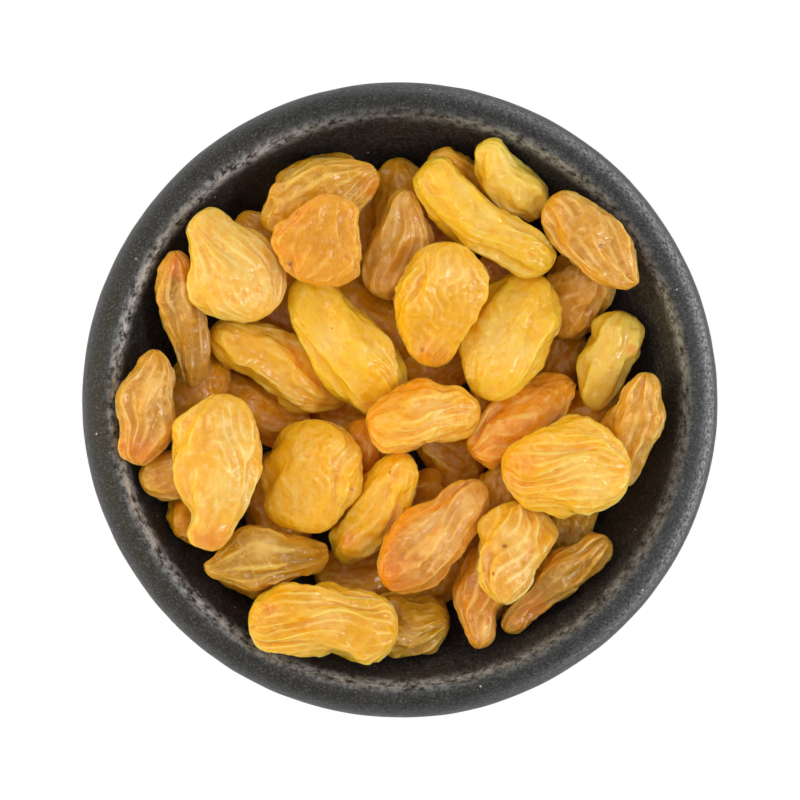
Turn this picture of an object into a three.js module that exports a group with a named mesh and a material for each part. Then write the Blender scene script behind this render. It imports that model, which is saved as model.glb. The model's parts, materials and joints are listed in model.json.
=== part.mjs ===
// A small round bowl filled with golden raisins.
//
// Millimetres, +Z up. The origin is in the middle of the bowl's foot, on the surface it stands on.
// Places are given as seen from straight above, with +X to the right and +Y to the top.
//
// The raisins that show are set out by hand. The pile is then settled as a whole: the raisins
// sink, push each other apart and lean, while each is drawn back to its own place in the plan.
// Last, lowest first, each is let down until it rests on the bowl or on the raisins below it.

import * as THREE from 'three';

const UP = new THREE.Vector3(0, 0, 1);

// Bowl, a thick round shell with a rolled lip and a foot ring
const BOWL_RADIUS = 42.5;
const BOWL_HEIGHT = 25;
const LIP_EDGE_RADIUS = 38.3;
const LIP_BEAD_WIDTH = 1.3;
const LIP_BEAD_RISE = 0.35;
const LIP_ROLL_DROP = 6;
const FLOOR_HEIGHT = 8;
const FLOOR_RADIUS = 20;
const WALL_CURVE = 2.3;
const FOOT_RADIUS = 24;
const FOOT_WIDTH = 3;
const FOOT_RECESS = 1.4;
const FOOT_FILLET = { width: 1, height: 1.2 };
const BELLY_RISE = 2;
const WALL_STEPS = 8;
const BOWL_SIDES = 48;

// Raisins
const SKIN_GAP = 0.3;
const FINE_FACETS = { around: 18, along: 9 };
const PLAIN_FACETS = { around: 12, along: 7 };
const OUTLINE_STATIONS = [-0.9, -0.6, -0.3, 0, 0.3, 0.6, 0.9];
const END_ROUNDNESS = 2.2;
const SECTION_ROUNDNESS = 2.4;
const FLOOR_RAISIN = { length: 15.5, width: 9.5, thickness: 7.5, count: 4, reach: 25, trials: 400 };
const SEEDS = { top: 101, middle: 201, floor: 301, floorHeadings: 7 };

// Relief of the skin, as shares of the half width. A wave runs round the raisin a whole number
// of times, and turns along radians from the raisin's middle to its end.
const RIDGE_HEIGHT = 0.1;
const RIDGE_LEVELS = { crest: 0.4, valley: -1.4 };
const RIDGE_WANDER = { radians: 0.2, round: 2, along: 2.6 };
const RIDGE_STEP = { above: 0.4, round: 2, along: 3.5 };
const RIDGE_STRENGTH = { mean: 0.7, swing: 0.5, round: 3, along: 2.4 };
const LUMPS = [
  { out: 0.045, round: 2, along: 2.2 },
  { out: 0.045, round: 3, along: -3.1 },
  { out: 0.022, round: 0, along: 5 },
];
const BUMP_SPREAD = { station: 0.22, angle: 0.55 };

// Settling of the pile: balls stand in for each raisin's flesh
const BALL_SPACING = 2.1;
const BALL_GAP = 0.35;
const BALL_END = 0.96;
const BALL_THINNING = 0.92;
const INERTIA_SHARE = 0.09;
const SETTLE_ROUNDS = 700;
const SINK_STEP = 0.04;
const LEVELLING = 0.03;
const PLACE_HOLD = { top: 0.9, middle: 0.06, floor: 0.01 };
const START_HEIGHTS = { floor: 11, middle: 15, top: 24 };
const START_STEP = 0.25;

// Last search for the place where a raisin rests, in degrees and millimetres
const LEAN_STEPS = [-6, -3, 0, 3, 6];
const NUDGE_STEPS = [-0.2, 0, 0.2];
const MAP_CELL = 0.3;

const BOWL_LOOK = { color: 0x2b2a29, roughness: 0.6, metalness: 0 };
const GOLD = 0xe8a83a;
const YELLOW = 0xf0b93c;
const PALE = 0xeebb6a;
const ORANGE = 0xd98a2b;
const OLIVE = 0xc39a3a;
const TAN = 0xcc9650;
const AMBER = 0xa9682a;
const BROWN = 0x7a4a1e;
const RAISIN_ROUGHNESS = 0.45;

// One seeded draw after another, each between 0 and 1
function seededRandom(seed) {
  let state = (seed * 2654435761) >>> 0;
  return () => {
    state = (state * 1664525 + 1013904223) >>> 0;
    return state / 4294967296;
  };
}

// Height of the bowl's inner surface at a distance from its axis
function bowlInside(radius) {
  if (radius <= FLOOR_RADIUS) {
    return FLOOR_HEIGHT;
  }
  const out = (radius - FLOOR_RADIUS) / (LIP_EDGE_RADIUS - FLOOR_RADIUS);
  return FLOOR_HEIGHT + (BOWL_HEIGHT - FLOOR_HEIGHT) * out ** WALL_CURVE;
}

function arcPoints(centre, radii, fromDegrees, toDegrees, steps) {
  const points = [];
  for (let i = 0; i <= steps; i += 1) {
    const angle = THREE.MathUtils.degToRad(fromDegrees + ((toDegrees - fromDegrees) * i) / steps);
    points.push([centre[0] + radii[0] * Math.cos(angle), centre[1] + radii[1] * Math.sin(angle)]);
  }
  return points;
}

// The bowl's profile, from the axis underneath, round the lip and back to the axis inside
function bowlGeometry() {
  const footInner = FOOT_RADIUS - FOOT_WIDTH;
  const rollHeight = BOWL_HEIGHT - LIP_ROLL_DROP;
  const beadOuter = LIP_EDGE_RADIUS + LIP_BEAD_WIDTH;
  const bellyStart = FOOT_RADIUS + FOOT_FILLET.width;
  const underside = [
    [0, FOOT_RECESS],
    [footInner - FOOT_RECESS, FOOT_RECESS],
    [footInner, 0],
    [FOOT_RADIUS, 0],
    [bellyStart, FOOT_FILLET.height],
  ];
  const belly = arcPoints(
    [bellyStart, rollHeight],
    [BOWL_RADIUS - bellyStart, rollHeight - BELLY_RISE],
    -82, 0, 6,
  );
  const roll = arcPoints(
    [beadOuter, rollHeight],
    [BOWL_RADIUS - beadOuter, LIP_ROLL_DROP - LIP_BEAD_RISE],
    15, 90, 5,
  );
  const bead = [
    [beadOuter - 0.3 * LIP_BEAD_WIDTH, BOWL_HEIGHT],
    [LIP_EDGE_RADIUS + 0.2 * LIP_BEAD_WIDTH, BOWL_HEIGHT],
  ];
  const inside = [];
  for (let i = 0; i <= WALL_STEPS; i += 1) {
    const radius = LIP_EDGE_RADIUS - ((LIP_EDGE_RADIUS - FLOOR_RADIUS) * i) / WALL_STEPS;
    inside.push([radius, Math.min(bowlInside(radius), BOWL_HEIGHT - 0.5)]);
  }
  const profile = [...underside, ...belly, ...roll, ...bead, ...inside, [0, FLOOR_HEIGHT]];
  return new THREE.LatheGeometry(profile.map(([r, z]) => new THREE.Vector2(r, z)), BOWL_SIDES)
    .rotateX(Math.PI / 2);
}

// How full the rounded ends are at a station, which runs from -1 at the tail to +1 at the head
function roundedEnds(station) {
  return (1 - Math.abs(station) ** END_ROUNDNESS) ** (1 / END_ROUNDNESS);
}

// How far a raisin reaches to one side of its axis at any station, given its half widths there at
// the outline's stations, or else its whole width
function sideOf(halfWidths, width) {
  if (!halfWidths) {
    return (station) => (width / 2) * roundedEnds(station);
  }
  const fullness = halfWidths.map((half, i) => half / roundedEnds(OUTLINE_STATIONS[i]));
  const curve = new THREE.CubicInterpolant(OUTLINE_STATIONS, fullness, 1);
  return (station) => curve.evaluate(station)[0] * roundedEnds(station);
}

// A raisin's outline from above: for a station, its middle line's offset to the left, its half
// width and that half width as a share of the largest
function outlineOf(look) {
  const left = sideOf(look.left, look.width);
  const right = sideOf(look.right, look.width);
  const halfAt = (station) => (left(station) + right(station)) / 2;
  const widest = Math.max(...OUTLINE_STATIONS.map(halfAt));
  return (station) => ({
    middle: (left(station) - right(station)) / 2,
    half: halfAt(station),
    share: halfAt(station) / widest,
  });
}

function angleBetween(angle, other) {
  return Math.atan2(Math.sin(angle - other), Math.cos(angle - other));
}

function wave(shape, angle, station, phase) {
  return Math.sin(shape.round * angle + shape.along * station + phase);
}

// The skin: for a station and a column of corners, the angle round the raisin and how far out
// the skin is there. Ridges run lengthwise on every second column and wander with it. In some
// patches they step over to the next column, so that ridges fork and join.
function skinOf(look, facets, random) {
  const height = look.ridge ?? RIDGE_HEIGHT;
  const phases = [RIDGE_WANDER, RIDGE_STEP, RIDGE_STRENGTH, ...LUMPS].map(() => 2 * Math.PI * random());
  const [wanderPhase, stepPhase, strengthPhase, ...lumpPhases] = phases;
  return (station, column) => {
    const even = (2 * Math.PI * column) / facets.around;
    const angle = even + RIDGE_WANDER.radians * wave(RIDGE_WANDER, even, station, wanderPhase);
    const stepped = wave(RIDGE_STEP, even, station, stepPhase) > RIDGE_STEP.above ? 1 : 0;
    const level = (column + stepped) % 2 === 0 ? RIDGE_LEVELS.crest : RIDGE_LEVELS.valley;
    const { mean, swing } = RIDGE_STRENGTH;
    const strength = mean + swing * wave(RIDGE_STRENGTH, even, station, strengthPhase);
    let out = 1 + height * strength * level;
    LUMPS.forEach((lump, i) => {
      out += lump.out * wave(lump, angle, station, lumpPhases[i]);
    });
    for (const bump of look.bumps ?? []) {
      const along = (station - bump.at) / BUMP_SPREAD.station;
      const across = angleBetween(angle, bump.side) / BUMP_SPREAD.angle;
      out += bump.out * Math.exp(-along * along - across * across);
    }
    return { angle, out };
  };
}

// A cosine or sine filled out from a circle's to that of a fuller, flatter section
function fuller(part) {
  return Math.sign(part) * Math.abs(part) ** (2 / SECTION_ROUNDNESS);
}

// One raisin in its own frame: length along X, width along Y, thickness along Z
function raisinGeometry(look, facets, seed) {
  const skin = skinOf(look, facets, seededRandom(seed));
  const outline = outlineOf(look);
  const positions = [];
  const addPoint = (station, column) => {
    const { angle, out } = skin(station, column);
    const { middle, half, share } = outline(station);
    positions.push(
      (look.length / 2) * station,
      middle + half * out * fuller(Math.cos(angle)),
      (look.thickness / 2) * share * out * fuller(Math.sin(angle)),
    );
  };
  addPoint(-1, 0);
  for (let ring = 1; ring <= facets.along; ring += 1) {
    const station = -Math.cos((Math.PI * ring) / (facets.along + 1));
    for (let column = 0; column < facets.around; column += 1) {
      addPoint(station, column);
    }
  }
  addPoint(1, 0);

  const index = [];
  const at = (ring, column) => 1 + (ring - 1) * facets.around + (column % facets.around);
  const last = 1 + facets.along * facets.around;
  for (let column = 0; column < facets.around; column += 1) {
    index.push(0, at(1, column + 1), at(1, column));
    index.push(last, at(facets.along, column), at(facets.along, column + 1));
    for (let ring = 1; ring < facets.along; ring += 1) {
      index.push(at(ring, column), at(ring + 1, column + 1), at(ring + 1, column));
      index.push(at(ring, column), at(ring, column + 1), at(ring + 1, column + 1));
    }
  }
  const geometry = new THREE.BufferGeometry();
  geometry.setAttribute('position', new THREE.Float32BufferAttribute(positions, 3));
  geometry.setIndex(index);
  geometry.computeVertexNormals();
  return geometry;
}

// A map from above of how high the bowl and the pile reach, one number for each small square
class PileMap {
  constructor() {
    this.half = Math.ceil(BOWL_RADIUS / MAP_CELL);
    this.side = 2 * this.half + 1;
    this.heights = new Float64Array(this.side * this.side);
    for (let row = 0; row < this.side; row += 1) {
      for (let column = 0; column < this.side; column += 1) {
        const radius = Math.hypot(column - this.half, row - this.half) * MAP_CELL;
        this.heights[row * this.side + column] = bowlInside(radius + SKIN_GAP) + SKIN_GAP;
      }
    }
  }

  // Calls visit(cell, height) for each square under each triangle that faces up, or down
  scan(points, index, facing, visit) {
    for (let i = 0; i < index.length; i += 3) {
      const a = 3 * index[i];
      const b = 3 * index[i + 1];
      const c = 3 * index[i + 2];
      const [ax, ay, bx, by, cx, cy] = [
        points[a], points[a + 1], points[b], points[b + 1], points[c], points[c + 1],
      ].map((value) => value / MAP_CELL + this.half);
      const area = (bx - ax) * (cy - ay) - (cx - ax) * (by - ay);
      if (area * facing > 1e-9) {
        const lowX = Math.ceil(Math.min(ax, bx, cx));
        const highX = Math.floor(Math.max(ax, bx, cx));
        const lowY = Math.ceil(Math.min(ay, by, cy));
        const highY = Math.floor(Math.max(ay, by, cy));
        for (let y = lowY; y <= highY; y += 1) {
          for (let x = lowX; x <= highX; x += 1) {
            const shareB = ((x - ax) * (cy - ay) - (cx - ax) * (y - ay)) / area;
            const shareC = ((bx - ax) * (y - ay) - (x - ax) * (by - ay)) / area;
            if (shareB >= 0 && shareC >= 0 && shareB + shareC <= 1) {
              const height = points[a + 2]
                + shareB * (points[b + 2] - points[a + 2])
                + shareC * (points[c + 2] - points[a + 2]);
              visit(y * this.side + x, height);
            }
          }
        }
      }
    }
  }

  // How high a turned raisin's origin has to be for it to rest on the pile
  restingHeight(points, index) {
    let height = -Infinity;
    this.scan(points, index, -1, (cell, low) => {
      height = Math.max(height, this.heights[cell] - low);
    });
    return height;
  }

  add(points, index) {
    this.scan(points, index, 1, (cell, high) => {
      this.heights[cell] = Math.max(this.heights[cell], high);
    });
  }
}

// A raisin's corners turned and moved to its place, each pushed out along the skin by margin
function placedPoints(geometry, turn, place, margin) {
  const position = geometry.getAttribute('position');
  const normal = geometry.getAttribute('normal');
  const points = new Float64Array(position.count * 3);
  const point = new THREE.Vector3();
  const push = new THREE.Vector3();
  for (let i = 0; i < position.count; i += 1) {
    push.fromBufferAttribute(normal, i).multiplyScalar(margin);
    point.fromBufferAttribute(position, i).add(push).applyQuaternion(turn).add(place);
    points.set([point.x, point.y, point.z], 3 * i);
  }
  return points;
}

// Balls on the middle plane of a raisin, each as thick as the raisin is there
function fleshBalls(look) {
  const outline = outlineOf(look);
  const balls = [];
  const alongCount = Math.round(look.length / BALL_SPACING);
  for (let i = 0; i <= alongCount; i += 1) {
    const station = BALL_END * ((2 * i) / alongCount - 1);
    const { middle, half, share } = outline(station);
    const acrossCount = Math.max(1, Math.round((2 * half) / BALL_SPACING));
    for (let j = 0; j < acrossCount; j += 1) {
      const across = (2 * (j + 0.5)) / acrossCount - 1;
      const radius = (look.thickness / 2) * share * Math.sqrt(1 - BALL_THINNING * across * across);
      const reach = half * across;
      const inset = Math.sign(reach) * Math.min(Math.abs(reach), half - radius);
      const centre = new THREE.Vector3(
        (look.length / 2) * station * (1 - radius / look.length),
        middle + inset,
        0,
      );
      balls.push({ centre, radius, world: new THREE.Vector3(), arm: new THREE.Vector3() });
    }
  }
  return balls;
}

class SettlingRaisin {
  constructor(look, layer, order, seed, facets) {
    this.look = look;
    this.geometry = raisinGeometry(look, facets, seed);
    this.balls = fleshBalls(look);
    this.reach = look.length / 2 + 1;
    this.inertia = INERTIA_SHARE * look.length ** 2;
    this.home = new THREE.Vector2(...look.at);
    this.hold = look.hold ?? PLACE_HOLD[layer];
    this.place = new THREE.Vector3(...look.at, START_HEIGHTS[layer] + START_STEP * order);
    this.yaw = THREE.MathUtils.degToRad(look.heading);
    this.turn = new THREE.Quaternion().setFromAxisAngle(UP, this.yaw);
    this.updateBalls();
  }

  updateBalls() {
    for (const ball of this.balls) {
      ball.arm.copy(ball.centre).applyQuaternion(this.turn);
      ball.world.copy(ball.arm).add(this.place);
    }
  }

  // Share of a push that this raisin gives way to, at arm, along direction
  give(arm, direction) {
    return 1 + new THREE.Vector3().crossVectors(arm, direction).lengthSq() / this.inertia;
  }

  push(arm, direction, amount) {
    this.place.addScaledVector(direction, amount);
    const spin = new THREE.Vector3().crossVectors(arm, direction).multiplyScalar(amount / this.inertia);
    this.spin(spin);
  }

  spin(turnVector) {
    const angle = turnVector.length();
    if (angle > 1e-9) {
      const axis = turnVector.clone().divideScalar(angle);
      this.turn.premultiply(new THREE.Quaternion().setFromAxisAngle(axis, angle)).normalize();
    }
  }

  // Sinks a little, and is drawn back to its place, heading and level lie
  drift() {
    this.place.z -= SINK_STEP;
    this.place.x += this.hold * (this.home.x - this.place.x);
    this.place.y += this.hold * (this.home.y - this.place.y);
    const head = new THREE.Vector3(1, 0, 0).applyQuaternion(this.turn);
    const wrong = Math.atan2(head.y, head.x) - this.yaw;
    const turnBack = -this.hold * Math.atan2(Math.sin(wrong), Math.cos(wrong));
    this.spin(UP.clone().multiplyScalar(turnBack));
    const up = UP.clone().applyQuaternion(this.turn);
    this.spin(new THREE.Vector3().crossVectors(up, UP).multiplyScalar(LEVELLING));
    this.updateBalls();
  }
}

// Pushes two raisins apart where their balls overlap most
function separate(one, other) {
  if (one.place.distanceTo(other.place) > one.reach + other.reach) {
    return;
  }
  let deepest = { overlap: 0 };
  for (const a of one.balls) {
    for (const b of other.balls) {
      const overlap = a.radius + b.radius + BALL_GAP - a.world.distanceTo(b.world);
      if (overlap > deepest.overlap) {
        deepest = { overlap, a, b };
      }
    }
  }
  if (deepest.overlap > 0) {
    const { a, b, overlap } = deepest;
    const direction = new THREE.Vector3().subVectors(a.world, b.world).normalize();
    const amount = overlap / (one.give(a.arm, direction) + other.give(b.arm, direction));
    one.push(a.arm, direction, amount);
    other.push(b.arm, direction, -amount);
    one.updateBalls();
    other.updateBalls();
  }
}

// Pushes a raisin out of the bowl's floor and wall
function keepInBowl(raisin) {
  let deepest = { overlap: 0 };
  for (const ball of raisin.balls) {
    const radius = Math.hypot(ball.world.x, ball.world.y);
    const slope = (bowlInside(radius + 0.1) - bowlInside(radius - 0.1)) / 0.2;
    const lift = ball.world.z - bowlInside(radius);
    const overlap = ball.radius + BALL_GAP - lift / Math.hypot(1, slope);
    if (overlap > deepest.overlap) {
      const inward = slope / Math.max(radius, 1e-6);
      const direction = new THREE.Vector3(-inward * ball.world.x, -inward * ball.world.y, 1).normalize();
      deepest = { overlap, direction, arm: ball.arm };
    }
  }
  if (deepest.overlap > 0) {
    const { arm, direction, overlap } = deepest;
    raisin.push(arm, direction, overlap / raisin.give(arm, direction));
    raisin.updateBalls();
  }
}

function settlePile(raisins) {
  for (let round = 0; round < SETTLE_ROUNDS; round += 1) {
    raisins.forEach((raisin) => raisin.drift());
    for (let i = 0; i < raisins.length; i += 1) {
      for (let j = i + 1; j < raisins.length; j += 1) {
        separate(raisins[i], raisins[j]);
      }
    }
    raisins.forEach((raisin) => keepInBowl(raisin));
  }
}

// Finds where a raisin comes to rest lowest near its settled place and lean
function rest(raisin, pile) {
  const index = raisin.geometry.getIndex().array;
  const sideways = new THREE.Vector3(1, 0, 0);
  const endways = new THREE.Vector3(0, 1, 0);
  const lean = new THREE.Quaternion();
  const roll = new THREE.Quaternion();
  let best = { height: Infinity };
  for (const pitchStep of LEAN_STEPS) {
    for (const rollStep of LEAN_STEPS) {
      lean.setFromAxisAngle(endways, THREE.MathUtils.degToRad(pitchStep));
      roll.setFromAxisAngle(sideways, THREE.MathUtils.degToRad(rollStep));
      const turn = raisin.turn.clone().multiply(lean).multiply(roll);
      for (const nudgeX of NUDGE_STEPS) {
        for (const nudgeY of NUDGE_STEPS) {
          const place = new THREE.Vector3(raisin.place.x + nudgeX, raisin.place.y + nudgeY, 0);
          const height = pile.restingHeight(placedPoints(raisin.geometry, turn, place, 0), index);
          if (height < best.height) {
            best = { height, turn, place };
          }
        }
      }
    }
  }
  raisin.turn.copy(best.turn);
  raisin.place.set(best.place.x, best.place.y, best.height);
  pile.add(placedPoints(raisin.geometry, raisin.turn, raisin.place, SKIN_GAP), index);
}

// Raisins of the middle and top layers in the order they lie, lowest first. at is the centre and
// heading the direction of the head in degrees from +X.
const MIDDLE = [
  { at: [-3.4, 20.7], heading: 85, length: 17.2, width: 7.5, thickness: 6.0, color: AMBER },
  { at: [-15.6, 26.7], heading: 75, length: 12.0, width: 6.3, thickness: 5.2, color: AMBER },
  { at: [-17.2, 20.8], heading: -50, length: 12.0, width: 6.6, thickness: 5.2, color: BROWN },
  { at: [-11.4, 29.8], heading: 16, length: 11.4, width: 5.6, thickness: 5.2, hold: 0.3, color: OLIVE },
  { at: [-0.1, 26.2], heading: 90, length: 13.0, width: 7.5, thickness: 5.6, hold: 0.3, color: BROWN },
  { at: [8.9, 28.7], heading: -55, length: 15.1, width: 7.2, thickness: 5.4, hold: 0.3, color: AMBER },
  { at: [4.4, 21.4], heading: -20, length: 12.0, width: 6.6, thickness: 5.4, color: ORANGE },
  { at: [-3.7, 11.3], heading: -50, length: 15.7, width: 6.8, thickness: 7.2, color: AMBER },
  { at: [5.2, 4.5], heading: 5, length: 14.3, width: 7.5, thickness: 7.6, color: BROWN },
  { at: [-19.3, -1.4], heading: -26, length: 17.2, width: 8.0, thickness: 7.0, color: BROWN },
  { at: [-27.4, 1.4], heading: 50, length: 12.0, width: 7.5, thickness: 5.4, color: BROWN },
  { at: [-28.1, -15.0], heading: 70, length: 10.6, width: 6.6, thickness: 5.0, hold: 0.3, color: BROWN },
  { at: [-29.1, -10.0], heading: 10, length: 12.3, width: 7.2, thickness: 5.4, hold: 0.3, color: TAN },
  { at: [-7.6, -3.3], heading: -35, length: 13.0, width: 7.2, thickness: 7.2, color: AMBER },
  { at: [-4.5, -7.0], heading: 80, length: 11.4, width: 6.6, thickness: 6.8, color: ORANGE },
  { at: [6.6, -7.8], heading: -50, length: 12.0, width: 7.2, thickness: 7.2, hold: 0.3, color: AMBER },
  { at: [2.5, -11.3], heading: 30, length: 12.0, width: 7.2, thickness: 7.0, color: BROWN },
  { at: [13.1, -10.5], heading: 60, length: 12.0, width: 6.8, thickness: 6.4, color: AMBER },
  { at: [21.5, 3.7], heading: 70, length: 12.0, width: 6.3, thickness: 5.4, color: BROWN },
  { at: [24.8, -1.1], heading: 15, length: 12.0, width: 6.6, thickness: 5.4, color: AMBER },
  { at: [31.4, -5.4], heading: 75, length: 10.9, width: 5.8, thickness: 4.8, color: BROWN },
  { at: [23.1, -15.1], heading: 85, length: 12.9, width: 7.7, thickness: 5.6, hold: 0.3, color: OLIVE },
  { at: [-20.2, -23.6], heading: -10, length: 12.0, width: 6.6, thickness: 5.0, hold: 0.3, color: BROWN },
  { at: [-4.9, -23.5], heading: 5, length: 14.0, width: 7.4, thickness: 5.4, color: BROWN },
  { at: [7.0, -22.3], heading: 60, length: 13.8, width: 6.6, thickness: 5.4, color: BROWN },
  { at: [13.1, -26.8], heading: 80, length: 11.4, width: 5.8, thickness: 5.0, color: ORANGE },
];

// Bumps and dents: at is the station, side the angle round the raisin, 0 on the left of the
// heading, and out how far the skin goes, as a share of the half width there.
const UPPER_LEFT = 0.25 * Math.PI;
const UPPER = 0.5 * Math.PI;
const UPPER_RIGHT = 0.75 * Math.PI;

// left and right are half widths on each side of the axis, at the outline's stations
const TOP = [
  {
    at: [16.1, -2.5], heading: 34, length: 17.5, thickness: 6.8, ridge: 0.13, color: ORANGE,
    left: [1.9, 3.2, 4.0, 4.3, 4.1, 3.5, 1.8],
    right: [3.0, 4.0, 4.4, 4.4, 4.0, 3.0, 1.3],
    bumps: [{ at: -0.5, side: UPPER_LEFT, out: 0.1 }],
  },
  {
    at: [23.6, 14.0], heading: 60, length: 12, thickness: 6.4, ridge: 0.13, color: TAN,
    left: [2.5, 4.2, 4.8, 5.0, 4.8, 4.0, 2.5],
    right: [2.4, 3.8, 4.3, 4.4, 4.6, 4.0, 2.4],
  },
  {
    at: [10.1, -26.6], heading: 92, length: 13.6, thickness: 5.8, color: ORANGE,
    left: [1.1, 1.9, 2.6, 3.1, 2.7, 1.9, 0.8],
    right: [1.8, 2.2, 2.5, 3.7, 3.8, 3.2, 1.8],
  },
  {
    at: [1.4, -30.0], heading: 0, length: 10.9, thickness: 6.4, color: OLIVE,
    left: [2.3, 4.0, 4.6, 4.7, 4.5, 3.8, 2.2],
    right: [2.7, 4.5, 5.2, 5.2, 4.8, 3.8, 2.0],
  },
  {
    at: [-29.2, 11.0], heading: -82, length: 18.9, thickness: 6, color: TAN,
    left: [1.8, 2.6, 2.8, 2.9, 3.1, 3.0, 1.9],
    right: [1.6, 2.9, 3.3, 2.4, 1.7, 1.4, 1.0],
  },
  {
    at: [-33.8, -1.2], heading: 82, length: 15.6, thickness: 6.2, color: TAN,
    left: [2.5, 3.1, 3.3, 4.4, 4.1, 2.7, 1.4],
    right: [1.3, 3.0, 3.9, 3.4, 3.0, 3.2, 1.7],
  },
  {
    at: [-16.5, 4.5], heading: -26, length: 20.8, thickness: 6.8, ridge: 0.13, color: GOLD,
    left: [2.8, 4.2, 4.6, 4.4, 3.2, 1.8, 0.7],
    right: [1.6, 3.3, 2.9, 3.4, 4.4, 3.9, 1.8],
    bumps: [{ at: 0.4, side: UPPER, out: 0.1 }],
  },
  {
    at: [-0.3, 20.9], heading: 80, length: 15.4, thickness: 6.6, ridge: 0.13, color: TAN,
    left: [2.6, 4.0, 3.9, 3.7, 3.3, 2.7, 2.0],
    right: [1.6, 2.8, 3.9, 4.3, 4.0, 3.0, 1.2],
  },
  {
    at: [14.9, 29.6], heading: -49, length: 13.8, thickness: 5.8, color: YELLOW,
    left: [2.2, 2.6, 2.4, 2.7, 3.3, 3.4, 1.9],
    right: [1.0, 3.0, 3.6, 3.9, 3.7, 2.8, 2.0],
  },
  {
    at: [26.0, 21.0], heading: -44, length: 16.5, thickness: 6.4, color: TAN,
    left: [2.3, 3.3, 3.8, 3.9, 3.8, 2.7, 0.9],
    right: [2.3, 3.5, 4.1, 4.2, 3.9, 3.2, 2.0],
    bumps: [{ at: 0.2, side: UPPER, out: -0.08 }],
  },
  {
    at: [31.4, -3.9], heading: 80, length: 15.6, thickness: 6.2, ridge: 0.13, color: TAN,
    left: [1.2, 2.2, 3.2, 4.0, 3.6, 2.9, 1.6],
    right: [0.8, 1.4, 1.9, 3.1, 3.5, 2.7, 1.9],
    bumps: [{ at: 0, side: UPPER, out: -0.12 }],
  },
  {
    at: [21.1, -24.9], heading: 41, length: 18.6, thickness: 5.4, ridge: 0.15, color: TAN,
    left: [1.4, 2.0, 2.3, 3.3, 3.4, 2.5, 2.0],
    right: [1.5, 1.6, 1.6, 2.2, 2.7, 2.2, 1.7],
  },
  {
    at: [-18.1, -21.2], heading: 7, length: 17.4, thickness: 6.6, color: OLIVE,
    left: [0.5, 2.6, 4.3, 4.2, 3.0, 2.3, 1.2],
    right: [1.8, 2.9, 4.1, 3.9, 3.7, 3.6, 2.6],
  },
  {
    at: [-10.8, 27.0], heading: 22, length: 16.9, thickness: 5.6, color: OLIVE,
    left: [1.6, 4.0, 4.8, 5.4, 5.1, 3.9, 2.2],
    right: [2.3, 4.4, 5.1, 5.1, 4.5, 3.3, 1.4],
  },
  {
    at: [-3.7, -14.3], heading: 62, length: 18.4, thickness: 6.6, color: GOLD,
    left: [2.0, 3.6, 3.3, 3.5, 3.3, 3.0, 1.6],
    right: [1.0, 3.4, 3.7, 3.9, 3.9, 3.5, 2.4],
  },
  {
    at: [-10.7, 21.6], heading: 75, length: 12.4, thickness: 5.4, color: ORANGE,
    left: [2.8, 4.6, 6.1, 6.1, 4.9, 3.6, 1.8],
    right: [3.6, 5.7, 6.0, 5.9, 5.0, 4.2, 3.2],
    bumps: [{ at: 0.1, side: UPPER, out: -0.14 }],
  },
  {
    at: [15.3, -20.5], heading: 74, length: 14.8, thickness: 7, ridge: 0.13, color: PALE,
    left: [2.7, 4.4, 5.0, 5.5, 5.3, 4.4, 2.5],
    right: [1.3, 2.7, 3.1, 3.8, 4.4, 4.4, 2.7],
    bumps: [{ at: 0.1, side: UPPER_LEFT, out: -0.12 }],
  },
  {
    at: [28.2, 5.2], heading: 73, length: 13.9, thickness: 6, color: YELLOW,
    left: [1.7, 2.9, 3.7, 3.9, 3.8, 3.5, 1.9],
    right: [0.9, 1.9, 2.6, 3.1, 3.8, 3.6, 2.5],
  },
  {
    at: [-24.4, -9.8], heading: 84, length: 21, thickness: 7.4, color: PALE,
    left: [3.0, 3.0, 5.4, 6.4, 6.6, 5.6, 2.8],
    right: [1.6, 3.3, 4.9, 5.7, 5.7, 5.0, 2.7],
  },
  {
    at: [-11.4, -10.4], heading: 90, length: 15.2, thickness: 7.2, ridge: 0.07, color: GOLD,
    left: [3.7, 6.2, 7.0, 7.1, 6.8, 5.3, 2.8],
    right: [2.4, 4.1, 5.7, 6.7, 7.0, 6.5, 3.5],
  },
  {
    at: [-7.4, 7.5], heading: -51, length: 21.7, thickness: 7.2, ridge: 0.08, color: YELLOW,
    left: [2.5, 3.9, 4.4, 5.1, 5.6, 4.6, 2.5],
    right: [2.0, 3.9, 4.6, 5.5, 5.9, 5.0, 3.3],
  },
  {
    at: [14.9, 8.3], heading: 69, length: 18.6, thickness: 7.4, ridge: 0.075, color: YELLOW,
    left: [2.8, 4.8, 6.1, 6.7, 6.6, 5.3, 2.8],
    right: [2.6, 4.4, 5.2, 5.4, 5.9, 5.0, 2.9],
    bumps: [{ at: 0.2, side: UPPER_RIGHT, out: 0.06 }],
  },
  {
    at: [5.8, 12.9], heading: 82, length: 17.2, thickness: 7.2, color: GOLD,
    left: [2.5, 4.3, 5.8, 6.6, 6.3, 5.2, 3.1],
    right: [1.8, 3.1, 4.0, 4.9, 5.4, 5.1, 2.5],
  },
  {
    at: [11.1, 24.3], heading: -34, length: 22.1, thickness: 6, color: YELLOW,
    left: [3.5, 3.4, 2.7, 2.2, 2.6, 2.8, 2.0],
    right: [2.3, 3.9, 4.5, 4.9, 4.2, 3.9, 2.5],
  },
  {
    at: [4.5, -17.8], heading: 47, length: 19.3, thickness: 6.8, color: ORANGE,
    left: [2.7, 4.4, 5.1, 4.8, 3.6, 3.4, 1.8],
    right: [1.8, 3.9, 4.4, 4.3, 3.6, 3.2, 2.1],
    bumps: [{ at: 0.2, side: UPPER, out: -0.1 }],
  },
  {
    at: [3.1, -1.8], heading: 6, length: 15.7, thickness: 7, color: ORANGE,
    left: [1.5, 3.3, 4.1, 4.8, 4.0, 3.5, 1.6],
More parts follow.
